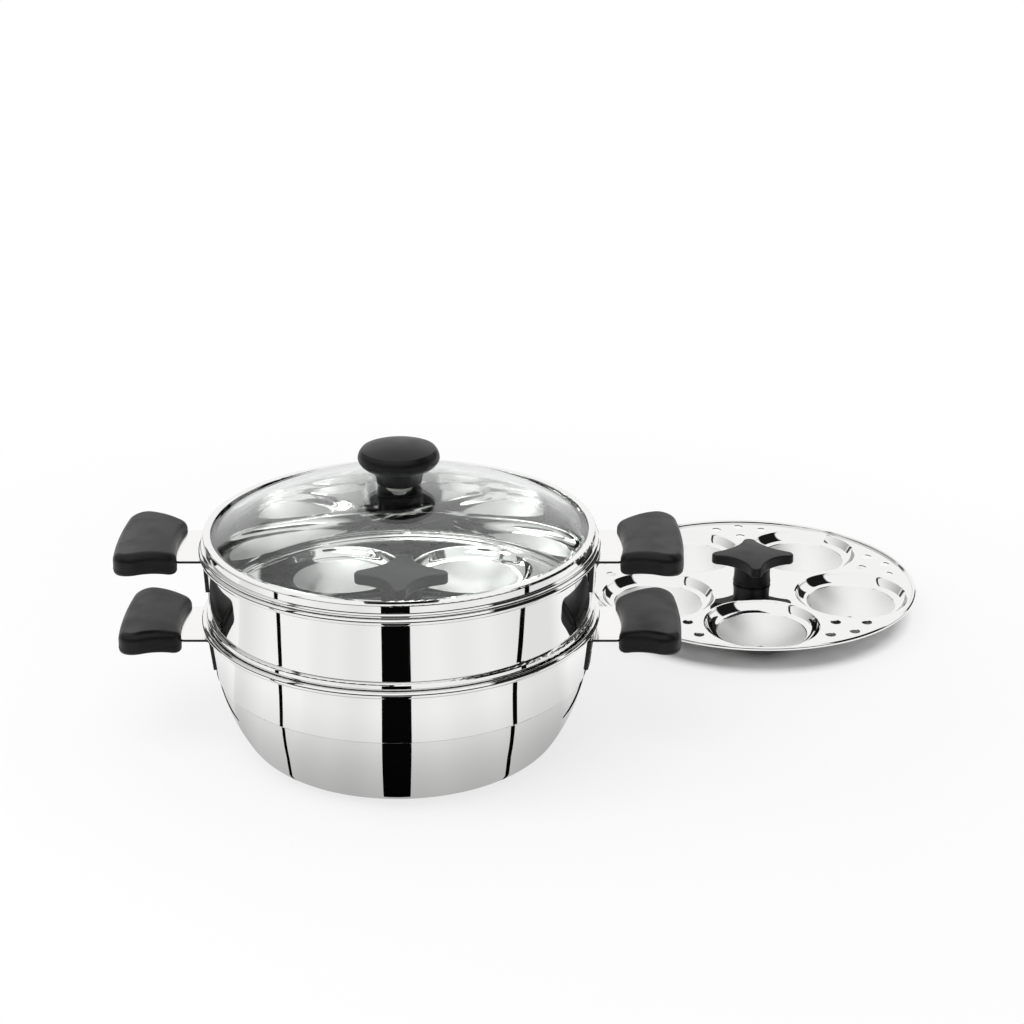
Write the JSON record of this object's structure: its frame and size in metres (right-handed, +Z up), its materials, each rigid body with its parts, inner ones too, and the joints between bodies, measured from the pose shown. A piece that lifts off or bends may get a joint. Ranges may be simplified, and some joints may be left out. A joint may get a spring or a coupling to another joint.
{
  "type": "idli steamer",
  "caption": "Stainless steel idli steamer: kadai pot, perforated steamer pan, cupped idli plates with star knobs and a domed glass lid, with black moulded grips.",
  "frame": {"origin": "centre of the pot's flat base, on the surface it stands on", "axes": "+Z up, +X through the right-hand grips, front at -Y"},
  "size_m": [0.5158, 0.426, 0.1906],
  "materials": {
    "mirror_steel": "mirror polished stainless steel",
    "bracket_steel": "satin stainless steel",
    "fastener_steel": "zinc-plated steel",
    "bakelite": "moulded black phenolic, satin",
    "brass": "turned",
    "glass": "clear toughened glass",
    "silicone": "translucent silicone"
  },
  "bodies": {
    "pot": {"pot_body": "mirror_steel", "pot_bracket_left": "bracket_steel", "pot_bracket_right": "bracket_steel", "pot_grip_left": "bakelite", "pot_grip_right": "bakelite", "pot_grip_screws": "fastener_steel"},
    "steamer": {"steamer_body": "mirror_steel", "steamer_bracket_left": "bracket_steel", "steamer_bracket_right": "bracket_steel", "steamer_grip_left": "bakelite", "steamer_grip_right": "bakelite", "steamer_grip_screws": "fastener_steel"},
    "top_plate": {"top_idli_plate": "mirror_steel", "top_star_knob": "bakelite", "top_knob_insert": "brass", "top_knob_screw": "fastener_steel", "top_knob_washer": "fastener_steel"},
    "spare_plate": {"spare_idli_plate": "mirror_steel", "spare_star_knob": "bakelite", "spare_knob_insert": "brass", "spare_knob_screw": "fastener_steel", "spare_knob_washer": "fastener_steel"},
    "lid": {"lid_glass": "glass", "lid_ring": "mirror_steel", "lid_knob_cap": "bakelite", "lid_knob_collar": "bakelite", "lid_knob_insert": "brass", "lid_knob_screw": "fastener_steel", "lid_screw_washer": "fastener_steel", "lid_glass_pads": "silicone"}
  },
  "joints": [
    {"name": "steamer_lift", "type": "slide", "parent": "pot", "child": "steamer", "axis": [0, 0, 1], "range_m": [0, 0.042]},
    {"name": "plate_lift", "type": "slide", "parent": "steamer", "child": "top_plate", "axis": [0, 0, 1], "range_m": [0, 0.092]},
    {"name": "lid_lift", "type": "slide", "parent": "top_plate", "child": "lid", "axis": [0, 0, 1], "range_m": [0, 0.02]},
    {"name": "spare_plate_lift", "type": "slide", "parent": "pot", "child": "spare_plate", "axis": [0, 0, 1], "range_m": [0, 0.03]}
  ]
}
